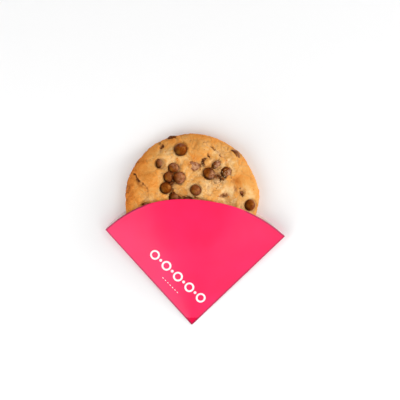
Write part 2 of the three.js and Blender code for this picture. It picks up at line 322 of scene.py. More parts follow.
cookieForm = {
    "radius": 46.2,
    "waist": 7,  # height where it is widest
    "crown": 17.4,
    "foot": 42.6,  # radius of its flat base
    "base": 0.7,  # height of that base, on the card
    # Waves of its outline: how many round it, how high as a share of the radius, and their turn
    "rimWaves": [(3, 0.008, 1), (5, 0.006, 2.2), (9, 0.005, 0.5)],
    # Single bulges and flat places: where and how wide in degrees, and how high in the same shares
    "rimUneven": [(134, 20, -0.018), (-6, 12, -0.026), (42, 10, 0.008)],
    "power": 3.3,  # how square the dome is across
    "round": 2.2,  # and in height
    "waves": 9,
    "longestWave": 36,
    "waveShrink": 0.84,
    "waveHeight": 0.015,  # as a share of its length
    "calmRim": 0.16,  # share of the radius over which its relief dies away
    "ledgeReach": 4,  # how far a ledge beside a crack is felt
    "rings": 140,
    "sideRings": 16,
    "floorRings": 14,
}

# Swellings and hollows: x, y, radius, height
swellings = {
    "left plate": (-30, 14.5, 11, 0.9),
    "top plate": (4, 38, 9, 0.5),
    "right plate": (37, 14, 8.5, 1),
    "upper right plate": (27, 29, 8, 0.6),
    "middle crater": (13, 20, 13, -1.1),
    "cluster hollow": (-13.5, 13, 9.5, -0.8),
    "right hollow": (28, 12, 6, -0.9),
    "pale swelling": (10.5, 4.5, 7, 0.5),
    "rim dimple": (-22.4, 36.8, 3.2, -1.3),
    "lower dimple": (21.9, 4, 3.4, -1.3),
    "top dimple": (10.8, 31.2, 3, -1),
    "side dimple": (34.3, 7.4, 3.2, -1.1),
}

# Cracks: depth, width, how much higher the crust is on the left of the path, the path
cracks = {
    "left crack": (1.1, 1.3, 0.8, [(-42, 18), (-39, 13), (-34.9, 9.6), (-31, 7.6), (-30, 3)]),
    "upper right crack": (0.8, 1.2, -0.6, [(9, 39), (13.5, 36.6), (17.4, 34.4), (20.6, 31), (21.6, 27)]),
    "right ledge": (0.6, 1.3, -0.9, [(36, 23), (31.5, 19), (28.6, 13.4), (29.4, 8)]),
    "crater ledge": (0.5, 1.3, 0.7, [(3.5, 12.5), (9, 11.5), (14, 8.6), (20, 9.6)]),
    "rim crack": (0.9, 1.1, 0, [(-25, 41), (-22.6, 37.4), (-22.8, 33.4)]),
    "top crack": (0.7, 1.1, 0.3, [(1, 45.5), (2, 40.5), (0.4, 36.5)]),
}


def besidePath(path, x, y):
    away = np.full(np.shape(x), np.inf)
    side = np.zeros(np.shape(x))
    for (ax, ay), (bx, by) in zip(path, path[1:]):
        runX, runY = bx - ax, by - ay
        along = np.clip(((x - ax) * runX + (y - ay) * runY) / (runX ** 2 + runY ** 2), 0, 1)
        gap = np.hypot(x - ax - along * runX, y - ay - along * runY)
        side = np.where(gap < away, np.sign(runX * (y - ay) - runY * (x - ax)), side)
        away = np.minimum(away, gap)
    return away, side


def rimRadius(angle):
    wobble = sum(high * np.sin(count * angle + turn) for count, high, turn in cookieForm["rimWaves"])
    for at, wide, high in cookieForm["rimUneven"]:
        apart = (angle - math.radians(at) + math.pi) % (2 * math.pi) - math.pi
        wobble = wobble + high * bell(apart, math.radians(wide))
    return cookieForm["radius"] * (1 + wobble)


def domeHeight(share, crown):
    form = cookieForm
    fall = 1 - np.minimum(share, 1) ** form["power"]
    return form["waist"] + (crown - form["waist"]) * fall ** (1 / form["round"])


def topHeight(x, y):
    form = cookieForm
    share = np.hypot(x, y) / rimRadius(np.arctan2(y, x))
    relief = np.zeros(np.shape(x))
    for i in range(form["waves"]):
        wave = form["longestWave"] * form["waveShrink"] ** i
        along = x * math.cos(goldenTurn * i) + y * math.sin(goldenTurn * i)
        relief += form["waveHeight"] * wave * np.sin(2 * math.pi * along / wave + 1.7 * i)
    for sx, sy, radius, height in swellings.values():
        relief += height * np.exp(-2 * ((x - sx) ** 2 + (y - sy) ** 2) / radius ** 2)
    for depth, width, ledge, path in cracks.values():
        away, side = besidePath(path, x, y)
        relief += 0.5 * ledge * side * away / (away + 0.5) * bell(away, form["ledgeReach"])
        relief -= depth * bell(away, width)
    return domeHeight(share, form["crown"]) + np.clip((1 - share) / form["calmRim"], 0, 1) * relief


def topNormal(x, y, step=0.6):
    slopeX = (topHeight(x + step, y) - topHeight(x - step, y)) / (2 * step)
    slopeY = (topHeight(x, y + step) - topHeight(x, y - step)) / (2 * step)
    return Vector((-slopeX, -slopeY, 1)).normalized()


# What a chip is unless its own row says otherwise
plainChip = {
    "lean": (0, 0),  # which way its point tips
    "shape": (1, 1, 0),  # how wide and how long it lies, and its turn in degrees
    "hollow": 0,  # how far the dough is sunk round it
    "cover": [],  # directions in degrees and the shares under dough on those sides
    "film": (0, 0),  # how much dough is smeared over it, and the direction that is smeared most
    "filmFrom": -0.1,  # how far out that way it begins
    "dusty": 0,  # how far the film looks like dough
    "outline": 1,  # how strong its painted shade is where it meets the dough, on the chip and round it
    "nub": 0,  # how much of its point shows
    "dark": 0,  # how much darker it is than the rest
}


# Place, width and how far it stands out, then what sets it apart
def chipAt(x, y, size, proud, **rest):
    return {**plainChip, "at": (x, y), "size": size, "proud": proud, **rest}


chips = {
    "01": chipAt(-8.7, 34.9, 9.4, 3.4, lean=(0.1, 0.1), nub=1),
    "02": chipAt(-22.3, 24.5, 7, 1.1, lean=(0.5, 0.1), shape=(0.6, 0.92, 8), hollow=1.2,
                 film=(0.6, 20), filmFrom=0, dark=0.2),
    "03": chipAt(-13.2, 21.8, 6.4, 2.8, lean=(0, 0.1), shape=(1.15, 1.12, 0), film=(0.42, 50),
                 filmFrom=0.05, dark=0.14),
    "04": chipAt(-9, 15.2, 8.4, 3.6, lean=(0, -0.1), shape=(1.03, 1.07, 0), film=(0.4, 0)),
    "05": chipAt(-16.4, 15.3, 6.2, 2.6, lean=(-0.1, 0), shape=(1.12, 1.3, 0), film=(0.1, 0), dark=0.1),
    "06": chipAt(-17.7, 8, 8, 3.2, lean=(-0.1, -0.2), shape=(1.07, 1.04, 0), nub=1, dark=0.16),
    "07": chipAt(-11.6, 2.1, 6.8, 1.6, lean=(0, 0.3), shape=(1.25, 1.2, 0), hollow=0.6,
                 cover=[(60, 0.14)], film=(0.35, -30), dark=0.16),
    "08": chipAt(2.4, 7.3, 7.8, 3, lean=(0.1, 0), nub=1, film=(0.15, 0)),
    "09": chipAt(40.2, -1.5, 8.2, 3, nub=0.4, dark=0.1),
    "10": chipAt(10.7, 18.9, 8.2, 2.6, lean=(-0.2, 0), shape=(0.98, 1.16, 35), film=(0.7, -20),
                 filmFrom=0.2, dark=0.2),
    "11": chipAt(16, 25.4, 6.6, 2.2, lean=(0.3, 0.3), shape=(1.15, 0.72, 40), film=(0.75, -10),
                 filmFrom=-0.1, dark=0.12),
    "12": chipAt(22.8, 20.1, 7.4, 1.9, lean=(0, -0.1), shape=(1, 1.06, 0), cover=[(-45, 0.14)],
                 film=(0.85, -50), filmFrom=0.02, dark=0.14),
    "13": chipAt(16.7, 13.6, 7.2, 1.2, lean=(0.2, -0.3), hollow=0.7, cover=[(-70, 0.34), (190, 0.24)],
                 film=(1, -100), filmFrom=-0.26, outline=0.6, dusty=0.7),
    "14": chipAt(8.6, 26.4, 5.6, 1, lean=(-0.5, 0.1), hollow=0.9, cover=[(-5, 0.7)]),
    "15": chipAt(1.3, 24, 8.2, 0.9, lean=(0.1, 0.1), shape=(1.25, 0.9, 0), hollow=0.5,
                 cover=[(75, 0.2), (205, 0.2), (300, 0.14)], film=(1, 200), filmFrom=-0.6, outline=0.3,
                 dusty=0.12),
    "16": chipAt(-15.8, 42.9, 7.4, 1.2, lean=(-0.9, 2.4), shape=(1.45, 0.9, 20), cover=[(-70, 0.3)],
                 dark=0.45),
    "17": chipAt(29.3, 33.8, 7.6, 1.3, lean=(1.6, 1.8), shape=(1.25, 0.9, -41), cover=[(229, 0.33)],
                 film=(0.2, 0), dark=0.3),
    "18": chipAt(-31.2, -3.6, 5.6, 1, lean=(0, 0.3), shape=(1, 0.42, 0), hollow=0.8, film=(0.5, 0),
                 outline=0.6),
    "19": chipAt(-3.2, -0.9, 8.2, 1.4, lean=(0, 0.2), hollow=0.9, film=(0.3, 90)),
    "20": chipAt(34, 6.9, 4.4, 0.8, lean=(0.2, 0), shape=(0.5, 0.8, 10), hollow=0.6, cover=[(90, 0.3)],
                 film=(0.7, 90), outline=0.5),
    "21": chipAt(-14, -24, 8, 0.8),
    "22": chipAt(12, -15, 8.4, 1.4, lean=(0.1, 0)),
    "23": chipAt(26, -22, 7.8, 1.2, lean=(0, 0.1)),
    "24": chipAt(-2, -31, 8, 1.2),
}
rimChips = ("16", "17")

chipForm = {
    # outline from the middle of the base to the point, as shares of the radius
    "outline": [(0, 0), (0.82, 0.03), (1, 0.3), (0.9, 0.72), (0.6, 1.08), (0.24, 1.24), (0, 1.34)],
    "segments": 56,
    "centre": 0.55,  # height of the place that its swellings are pushed away from
    "nub": (0.15, 0.14),  # height and width of the point's tip
    "slump": (1.3, 0.36),  # size and height of its broad swellings, as shares of the radius
    "dents": (0.45, 0.14),
}


def cutCorners(points, times):
    for _ in range(times):
        cut = [points[0]]
        for (ax, ay), (bx, by) in zip(points, points[1:]):
            for share in (0.25, 0.75):
                cut.append((ax + (bx - ax) * share, ay + (by - ay) * share))
        points = cut + [points[-1]]
    return points


def chipMatrix(chip):
    x, y = chip["at"]
    axis = topNormal(x, y) + Vector((*chip["lean"], 0))
    axis.normalize()
    height = chipForm["outline"][-1][1] * chip["size"] / 2
    base = Vector((x, y, float(topHeight(x, y)))) + axis * (chip["proud"] - height)
    return Matrix.Translation(base) @ Vector((0, 0, 1)).rotation_difference(axis).to_matrix().to_4x4()


def chipMesh(chip, seed):
    form = chipForm
    radius = chip["size"] / 2
    outline = cutCorners(form["outline"], 3)[1:-1]
    around = form["segments"]
    nubHigh, nubWide = form["nub"][0] * chip["nub"], form["nub"][1]
    vertices = [Vector((0, 0, 0))]
    for across, up in outline:
        nub = nubHigh * bell(across, nubWide) if up > 1 else 0
        for i in range(around):
            angle = 2 * math.pi * i / around
            corner = Vector((across * math.cos(angle), across * math.sin(angle), up + nub))
            vertices.append(corner * radius)
    vertices.append(Vector((0, 0, (form["outline"][-1][1] + nubHigh) * radius)))
    centre = Vector((0, 0, form["centre"] * radius))
    shares = [v / radius for v in vertices]
    bulge = form["slump"][1] * fractalAt(shares, form["slump"][0], 2, seed + 1)
    dents = form["dents"][1] * fractalAt(shares, form["dents"][0], 3, seed + 7)
    matrix = chipMatrix(chip)
    wider, longer, turn = chip["shape"]
    turned = Matrix.Rotation(math.radians(turn), 4, "Z")
    shape = turned @ Matrix.Diagonal((wider, longer, 1, 1)) @ turned.inverted()
    made = [matrix @ shape @ (v + (v - centre).normalized() * (wide + fine))
            for v, wide, fine in zip(vertices, bulge, dents)]
    rows = len(outline)
    faces = [(0, 1 + (i + 1) % around, 1 + i) for i in range(around)]
    for row in range(rows - 1):
        for i in range(around):
            j = (i + 1) % around
            low = 1 + row * around
            faces.append((low + i, low + j, low + around + j, low + around + i))
    last = 1 + (rows - 1) * around
    faces += [(last + i, last + (i + 1) % around, len(made) - 1) for i in range(around)]
    return made, faces


# Painted shade on a chip where it nears the dough and across its lower left, away from the light, never
# less than the chip's own darker tone
def paintedShadeAndTone(chip, points):
    x, y, z = points.T
    chipX, chipY = chip["at"]
    above = z - topHeight(x, y) + 0.5 * chip["hollow"]
    lowerLeft = -((x - chipX) * 0.8 + (y - chipY) * 0.6) / chip["size"] * 2
    reach = 1.3 + 1.5 * np.clip(lowerLeft, -0.6, 1)
    low = np.clip(0.5 + 0.5 * lowerLeft, 0.08, 0.95) * (1 - smoothStep(0.2 * reach, reach, above))
    shaded = chip["outline"] * np.maximum(low, 0.8 * smoothStep(0.05, 0.95, lowerLeft))
    return np.maximum(shaded, chip["dark"])


chipTrees = {}
for number, chip in chips.items():
    vertices, faces = chipMesh(chip, int(number))
    piece = makePiece("chocolateChip" + number, vertices, faces, [chocolateMaterial])
    film, towards = chip["film"]
    direction = Vector((*heading(towards), 0))
    offsets = [(v - Vector((*chip["at"], 0))).dot(direction) / chip["size"] for v in vertices]
    begins = chip["filmFrom"]
    addAttribute(piece, "film", film * smoothStep(begins - 0.25, begins + 0.25, np.array(offsets)))
    # painted shade, and the chip's darker tone
    addAttribute(piece, "sunk", paintedShadeAndTone(chip, np.array([v[:] for v in vertices])))
    addAttribute(piece, "dusty", np.full(len(vertices), chip["dusty"], float))
    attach(piece, "root")
    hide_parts("chip_" + number)
    chipTrees[number] = BVHTree.FromPolygons(vertices, faces)
print("chips made:", len(chips))

crustLook = {
    "knobs": (7.5, 0.42),  # size of the lumps and how high they are
    "bulges": (5.2, 0.78),  # rounded swellings with creases between them
    "crumb": (2.2, 0.31),
    "grain": (0.95, 0.15),
    "plates": [(-30, 14, 9), (37, 18, 7), (4, 39, 7)],  # smoother places: x, y, radius
    "cells": (6.0, 0.28, 0.42),  # size of the crazed cells, depth and width of their cracks
    "cellWarp": (5, 1.6),  # size of the waves that bend those cells, and how far
    "crazedPatch": 17,
    "pits": 150,
    "pitReach": 44,
    "film": 0.4,  # thickness of dough that laps over a chip
    "crevice": 0.45,
    "lip": (0.25, 1.25, 0.9),  # its height round a chip, where, in radii of the chip, and its width
}

# How browned the dough is: everywhere, on the rim, where it is high or low, down the side and
# underneath; and how much darker its rim grows towards the left
brownedLook = {"all": 0.42, "rim": 0.08, "left": 0.2, "high": 0.14, "side": 0.1, "under": 0.25}

# Holes that show: x, y, half length, half width, turn in degrees, depth
holes = [
    (6.7, 40.3, 0.5, 0.42, 0, 0.9), (8.7, 40.4, 0.5, 0.42, 0, 0.9), (-21.6, 36.4, 1.8, 1.3, 60, 1.5),
    (-23.2, 38.6, 1.5, 0.9, 60, 0.8), (-22.6, 33, 1.3, 0.9, 90, 0.5), (10.7, 30.8, 1.7, 0.6, 115, 1.4),
    (21.7, 4.2, 2.9, 1.4, 8, 1.05), (32.8, 9.5, 1, 0.8, 60, 0.9), (34.8, 4.5, 1.2, 0.7, 80, 0.9),
    (23.4, 36.5, 1.4, 0.45, 95, 0.7), (30.6, 29.1, 0.9, 0.5, 120, 0.5), (29.6, 9.3, 1.9, 1.1, 110, 0.5),
    (28, 14.7, 2.2, 1.5, 60, 0.5), (11.5, 4.3, 1.1, 0.7, 20, 0.4), (-28.7, 3.3, 1.9, 0.8, 10, 0.4),
    (-24.1, 4.1, 1.3, 0.7, 40, 0.4), (-31.5, 26.2, 1.1, 0.4, 30, 0.35),
]

# Narrow ragged cracks: depth, half width, how dark their painted shade is, the path
fineCracks = [
    (1.3, 1.05, 1, [(-40, 17.2), (-37.9, 13.6), (-35.8, 11.1), (-33.4, 9.8)]),
    (0.8, 0.6, 0.7, [(-33.4, 9.8), (-31, 8.3), (-30.1, 5.2)]),
    (0.7, 0.6, 0.8, [(11.9, 37.4), (13.6, 36.6), (15, 35.1), (16.9, 34.1), (18.3, 32.4), (19.6, 30.4)]),
    (0.3, 0.4, 0.2, [(-1, 44.5), (-0.6, 40.5), (-1.4, 36.5)]),
    (1.3, 1, 1, [(8.4, 28.9), (6.9, 28), (6.2, 26.8), (6.4, 25.5), (7.7, 24.6)]),
    (0.3, 0.35, 0.3, [(18.2, 9), (18.6, 6.9), (18, 4.3)]),
    (0.8, 0.7, 0.9, [(12.8, 17), (14.6, 17.9), (16.9, 17.9), (18.7, 16.9), (19.6, 15.2)]),
    (0.3, 0.4, 0.2, [(31.5, 19), (28.6, 13.4), (29.4, 8)]),
]

# Browner and paler places: x, y, radius, how much browner
toasted = [
    (-44, 4, 12, 0.2), (-30, 14, 10, 0.2), (-36, 26, 10, 0.08), (2, 42, 7, 0.08), (-2, 34, 6, 0.1),
    (18, 42, 8, 0.04), (37, 20, 8, 0.1), (-22, 27, 9, -0.06), (24, 8, 8, -0.06), (9, 7, 9, -0.08),
    (1, 33, 6, 0.04), (29.8, 15.8, 3.6, 0.3), (31.4, 11.4, 3.4, 0.26), (25, 28, 9, -0.06),
    (30, -1, 11, -0.08), (-12, 27, 9, -0.04),
]

# Chocolate smeared on the dough, and at the end three weak wide patches of painted shade: x, y, radius,
# how strong
smearAndShadePatches = [
    (-19.8, 17.5, 1.6, 0.45), (-9.8, 22.4, 2.4, 0.8), (-14.6, 18.6, 2.4, 1), (-11.4, 19.6, 1.6, 0.9),
    (-12.9, 11.3, 2, 0.95), (-13.2, 14.6, 1.7, 1), (-17.3, 11.8, 1.8, 0.95), (-13.6, 5.2, 1.6, 0.6),
    (14.3, 16.8, 2.8, 0.9), (15.6, 18.4, 4.4, 0.5), (18, 18.2, 2.4, 0.8), (20.6, 16.4, 2.2, 0.45),
    (13.4, 23, 1.7, 0.85), (-8.2, 1.6, 2.4, 0.7), (18.8, 22.8, 1.8, 0.5), (12.4, 21.6, 2.3, 0.95),
    (16.6, 21, 3, 0.5), (20.4, 13.2, 2, 0.35), (-18.6, 21, 1.5, 0.4), (34, 7, 1.4, 0.35),
    (-2.4, 25, 1.8, 0.3), (30.2, 14.2, 3.2, 0.15), (1, 30, 4.5, 0.1), (19.5, 13.5, 6, 0.12),
]


# Shares of the radius that lie evenly spaced along the dome
def ringShares(count, samples=6001):
    fine = np.linspace(0, 1, samples)
    across, up = fine * cookieForm["radius"], domeHeight(fine, cookieForm["crown"])
    walked = np.concatenate([[0], np.cumsum(np.hypot(np.diff(across), np.diff(up)))])
    return np.interp(np.linspace(0, walked[-1], count + 1), walked, fine)


# Rings of 6, 12, 18 ... points over the top, then rings down the side and across the base
def doughGrid():
    form = cookieForm
    rings, sideRings, floorRings = form["rings"], form["sideRings"], form["floorRings"]
    shares = ringShares(rings)
    points = [np.array([[0, 0, float(topHeight(0.0, 0.0))]])]
    for k in range(1, rings + 1):
        angle = 2 * math.pi * np.arange(6 * k) / (6 * k)
        radius = shares[k] * rimRadius(angle)
        x, y = radius * np.cos(angle), radius * np.sin(angle)
        points.append(np.column_stack([x, y, topHeight(x, y)]))
    faces = []
    start = [0] + [1 + 3 * k * (k - 1) for k in range(1, rings + 1)]
    for k in range(1, rings + 1):
        around, inside = 6 * k, max(6 * (k - 1), 1)
        for sector in range(6):
            for i in range(k):
                outer = sector * k + i
                inner = sector * (k - 1) + i
                a, b = start[k] + outer, start[k] + (outer + 1) % around
                c = start[k - 1] + inner % inside
                faces.append((a, b, c))
                if i < k - 1:
                    faces.append((b, start[k - 1] + (inner + 1) % inside, c))
    topCount = sum(len(p) for p in points)
    around = 6 * rings
    angle = 2 * math.pi * np.arange(around) / around
    above = start[rings]
    count = topCount
    overhang = form["radius"] - form["foot"]
    for step in range(1, sideRings + floorRings + 1):
        if step <= sideRings:
            turn = math.pi / 2 * step / sideRings
            radius = rimRadius(angle) - overhang * (1 - math.cos(turn))
            height = form["waist"] - (form["waist"] - form["base"]) * math.sin(turn)
        else:
            inward = (step - sideRings) / (floorRings + 1)
            radius = (rimRadius(angle) - overhang) * (1 - inward)
            height = form["base"]
        x, y = radius * np.cos(angle), radius * np.sin(angle)
        points.append(np.column_stack([x, y, np.full(around, height)]))
        faces += ringFaces(above, count, around)
        above = count
        count += around
    points.append(np.array([[0, 0, form["base"]]]))
    faces += [(above + i, count, above + (i + 1) % around) for i in range(around)]
    return np.vstack(points), faces, topCount


def smoothNormals(points, faces):
    mesh = bpy.data.meshes.new("scratch")
    mesh.from_pydata(points.tolist(), [], faces)
    normals = np.zeros(len(points) * 3, np.float32)
    mesh.vertex_normals.foreach_get("vector", normals)
    bpy.data.meshes.remove(mesh)
    return normals.reshape(-1, 3).astype(float)


def randomPlace(reach):
    angle, away = random.uniform(0, 2 * math.pi), reach * math.sqrt(random.random())
    return away * math.cos(angle), away * math.sin(angle)


def makeDough():
    look = crustLook
    points, faces, topCount = doughGrid()
    normals = smoothNormals(points, faces)
    x, y = points[:, 0], points[:, 1]
    share = np.hypot(x, y) / rimRadius(np.arctan2(y, x))
    onTop = np.zeros(len(points), bool)
    onTop[:topCount] = True
    under = points[:, 2] < 1.5

    # Lumps and grain, rougher in the middle than on the rim and the plates
    rough = 1 - 0.4 * smoothStep(0.7, 0.98, share)
    for plateX, plateY, radius in look["plates"]:
        rough -= 0.5 * np.exp(-(((x - plateX) ** 2 + (y - plateY) ** 2) / radius ** 2) ** 2)
    rough = np.where(under, 0.4, np.clip(rough, 0.25, 1))
    knobs = fractalAt(points, look["knobs"][0], 3, 1)
    bulges = np.abs(fractalAt(points, look["bulges"][0], 3, 9))
    crumb = fractalAt(points, look["crumb"][0], 3, 2)
    grain = fractalAt(points, look["grain"][0], 2, 3)
    height = rough * (look["knobs"][1] * knobs + look["bulges"][1] * (bulges - bulges.mean()))
    height += rough * (look["crumb"][1] * crumb + look["grain"][1] * grain)
    # painted shade in the creases between the bulges
    paintedCreaseShade = 0.14 * rough * (1 - smoothStep(0.0, 0.07, bulges))

    # Crazing: thin cracks between irregular cells, in patches, with painted shade in them
    size, depth, width = look["cells"]
    warpSize, warpReach = look["cellWarp"]
    warp = np.column_stack([fractalAt(points, warpSize, 3, seed) for seed in (4, 5, 6)])
    border = cellBorderAt(points + warpReach * warp, size, 1)
    patch = fractalAt(points, look["crazedPatch"], 2, 8) + 0.4 * smoothStep(0.6, 0.95, share)
    crazed = smoothStep(0.05, 0.45, patch) * bell(border, width) * np.where(under, 0.3, 1)
    height -= depth * crazed
    paintedCreaseShade = np.maximum(paintedCreaseShade, 0.32 * crazed)

    # Ragged cracks, down the middle of the broad ones, with painted shade in them
    warped = points + 0.9 * np.column_stack([crumb, grain, grain])
    for depth, width, dark, path in fineCracks:
        away, _ = besidePath(path, warped[:, 0], warped[:, 1])
        line = bell(away, width) * onTop * np.clip(0.8 + 1.2 * crumb, 0.5, 1)
        height -= depth * line
        paintedCreaseShade = np.maximum(paintedCreaseShade, dark * line)

    # Holes that show, and small pits everywhere, with painted shade in them
    allHoles = list(holes)
    for _ in range(look["pits"]):
        pitX, pitY = randomPlace(look["pitReach"])
        small = random.uniform(0.22, 0.6)
        allHoles.append((pitX, pitY, small * random.uniform(1, 1.8), small,
                         random.uniform(0, 180), small * random.uniform(0.4, 0.8)))
    for holeX, holeY, length, wide, turn, deep in allHoles:
        near = np.nonzero(onTop & (np.abs(x - holeX) < 6) & (np.abs(y - holeY) < 6))[0]
        dx, dy = warped[near, 0] - holeX, warped[near, 1] - holeY
        cosine, sine = heading(turn)
        away = np.hypot((dx * cosine + dy * sine) / length, (dy * cosine - dx * sine) / wide)
        dip = bell(away, 1, 3)
        height[near] -= deep * dip
        paintedCreaseShade[near] = np.maximum(paintedCreaseShade[near], dip * min(1, 0.1 + 0.6 * deep))

    made = points + normals * height[:, None]
    made[under, 2] = np.maximum(made[under, 2], cookieForm["base"] - 0.15)

    # Dough meets each chip in a crevice with a low lip, or laps over it. Painted shade lies in the
    # crevice, darkest on the chip's lower left
    smearAndShade = np.zeros(len(points))
    for number, chip in chips.items():
        (chipX, chipY), radius = chip["at"], chip["size"] / 2
        near = np.nonzero(onTop & (np.hypot(x - chipX, y - chipY) < 2.6 * radius))[0]
        dx, dy = x[near] - chipX, y[near] - chipY
        away = np.hypot(dx, dy)
        chipTop = heightsOver(chipTrees[number], made[near, 0], made[near, 1])
        found = chipTop > missed
        covered = np.zeros(len(near))
        for direction, part in chip["cover"]:
            cosine, sine = heading(direction)
            towards = (dx * cosine + dy * sine) / radius + 0.22 * crumb[near] + 0.12 * knobs[near]
            covered = np.maximum(covered, smoothStep(1 - 2 * part - 0.1, 1 - 2 * part + 0.1, towards))
        z = made[near, 2]
        below = z
        if number not in rimChips:
            z = z - chip["hollow"] * bell(away, 1.15 * radius, 4)
            buried = z - chipTop
            lipHeight, lipAt, lipWidth = look["lip"]
            lip = bell(away - lipAt * radius, lipWidth) * np.where(found & (buried < 0.3), 0, 1)
            z = z + lipHeight * lip * (1 + crumb[near])
            dip = np.where(found & (buried > 0), bell(buried, 0.7), 0)
            rimmed = np.where(found, 0, bell(away - radius, 0.35) * 0.5)
            z = z - look["crevice"] * (dip + rimmed)
            lowerLeft = -(0.8 * dx + 0.6 * dy) / radius
            # painted shade round the chip, strongest on its lower left, away from the light
            shaded = chip["outline"] * np.clip(0.3 + 0.34 * lowerLeft, 0.04, 1)
            paintedCreaseShade[near] = np.maximum(paintedCreaseShade[near], shaded * np.maximum(dip, rimmed))
            below = np.where(found, np.minimum(z, chipTop - 0.7), z)
        over = np.where(found, np.maximum(z, chipTop + look["film"] * (1 + 0.5 * crumb[near])), z)
        made[near, 2] = below + (over - below) * covered
        # a darker ring round each uncovered chip, part chocolate smear and part painted shade
        halo = bell(np.maximum(away - radius, 0), 0.8) * (1 - covered)
        smearAndShade[near] = np.maximum(smearAndShade[near], 0.28 * chip["outline"] * halo)
    for smearX, smearY, radius, strong in smearAndShadePatches:
        away = np.hypot(warped[:, 0] - smearX, warped[:, 1] - smearY)
        smearAndShade = np.maximum(smearAndShade, strong * bell(away, radius) * onTop)

    # Browned on the rim and on what stands high; the rim darker still towards the left
    tone = brownedLook
    leftness = 0.5 - 0.5 * np.cos(np.arctan2(y, x))
    browned = tone["all"] + (tone["rim"] + tone["left"] * leftness) * smoothStep(0.8, 1.0, share)
    browned += tone["high"] * np.clip(height / 0.4, -1, 1)
    browned += np.where(onTop, 0, tone["side"]) + np.where(under, tone["under"], 0)
    for placeX, placeY, radius, more in toasted:
        browned += more * np.exp(-((x - placeX) ** 2 + (y - placeY) ** 2) / radius ** 2) * onTop
    piece = makePiece("dough", made, faces, [doughMaterial])
    addAttribute(piece, "browned", browned)
    addAttribute(piece, "paintedCreaseShade", paintedCreaseShade)
    addAttribute(piece, "smearAndShade", smearAndShade)
    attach(piece, "root")
    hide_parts("cookie")
    return made, faces


random.seed(11)
doughPoints, doughFaces = makeDough()
doughTree = BVHTree.FromPolygons(doughPoints.tolist(), doughFaces)
print("dough made:", len(doughPoints), "points")

crumbLook = {
    "count": 150,
    "sizes": (0.35, 0.95),
    "tones": (0.45, 0.8),
    "reach": 43,
    "specked": ("12", "13", "11", "15"),  # chips that are crusted with pale specks
    "specks": 16,  # on each of them
    "speckSizes": (0.2, 0.45),
    "speckSpread": 0.3375,  # as a share of the chip's width
    "speckTone": -0.1,
}


def smallBall():
    ball = bmesh.new()
    bmesh.ops.create_icosphere(ball, subdivisions=2, radius=0.5)
    corners = np.array([v.co[:] for v in ball.verts])
    faces = [[v.index for v in f.verts] for f in ball.faces]
    ball.free()
    return corners, faces


ballCorners, ballFaces = smallBall()


def unevenBall(amount, scale, shift):
    uneven = [1 + amount * noise.noise(Vector(c) * scale + shift) for c in ballCorners]
    return ballCorners * np.array(uneven)[:, None]


def addLump(vertices, faces, corners):
    faces.extend([len(vertices) + i for i in face] for face in ballFaces)
    vertices.extend(corners.tolist())


def makeCrumbs():
    look = crumbLook
    vertices, faces, tones, places = [], [], [], []
    for _ in range(look["count"]):
        x, y = randomPlace(look["reach"])
        places.append((x, y, random.uniform(*look["sizes"]), random.uniform(*look["tones"])))
    for number in look["specked"]:
        x, y = chips[number]["at"]
        spread = look["speckSpread"] * chips[number]["size"]
        for _ in range(look["specks"]):
            speckX, speckY = x + random.gauss(0, spread), y + random.gauss(0, spread)
            places.append((speckX, speckY, random.uniform(*look["speckSizes"]), look["speckTone"]))
    for x, y, size, tone in places:
        z = heightsOver(doughTree, [x], [y])[0]
        onChip = max(heightsOver(tree, [x], [y])[0] for tree in chipTrees.values())
        if z < 0 or (onChip > z and tone > 0):
            continue
        z = max(z, onChip)
        shift = Vector((random.uniform(0, 50), random.uniform(0, 50), random.uniform(0, 50)))
        stretch = np.array([random.uniform(0.7, 1.4), random.uniform(0.7, 1.4), random.uniform(0.6, 1)])
        corners = unevenBall(0.35, 2.4, shift) * stretch * size
        addLump(vertices, faces, corners + [x, y, z + 0.12 * size])
        tones += [tone] * len(corners)
    piece = makePiece("crumbs", vertices, faces, [doughMaterial])
    addAttribute(piece, "browned", tones)
    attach(piece, "root")


makeCrumbs()
print("crumbs made")

# Bits of broken chips: x, y, length, width, turn in degrees
chocolateBits = [
    (-13, 6.1, 3.6, 1.3, 84), (-12.3, 4.9, 1, 0.8, 30), (-5.4, 2.3, 4.4, 1.2, -18),
    (-0.9, 2.3, 4.2, 1.2, -9), (2.4, 2.4, 2.6, 1, -14), (4.1, 2, 1.3, 0.7, 10),
    (13.1, 23.3, 3.2, 1.1, 62), (16.2, 27.8, 2.5, 0.8, 30), (19.4, 17.4, 1.2, 0.8, 20),
    (17.5, 9.9, 0.9, 0.6, 0), (18.7, 11.3, 0.7, 0.6, 40), (16.4, 8.9, 0.8, 0.5, 30),
    (19.6, 9.4, 0.6, 0.5, 0), (32.7, 9.6, 1.3, 0.9, 70), (34.9, 4.4, 1.5, 0.8, 80),
    (-20.8, 17.9, 0.8, 0.5, 0), (-14, 11.4, 3.4, 2.4, 40), (-13.6, 18, 2.8, 2.2, 0),
    (-17.6, 11.9, 2.6, 1.8, 60), (-16.2, 19.4, 2.2, 1.4, 40), (14.6, 17.2, 3, 1.9, -50),
    (13.3, 21.5, 3.2, 1.9, 55), (15.6, 16.5, 2.6, 1.4, 35), (18.4, 17.2, 2.8, 1.6, 0),
    (20.7, 15.4, 2.6, 1.4, -50), (5.2, 21.4, 0.8, 0.5, 0), (-26.8, 29.3, 0.6, 0.5, 0),
    (26.5, 16.4, 0.7, 0.5, 0), (-5.4, 38.9, 0.6, 0.5, 0),
]


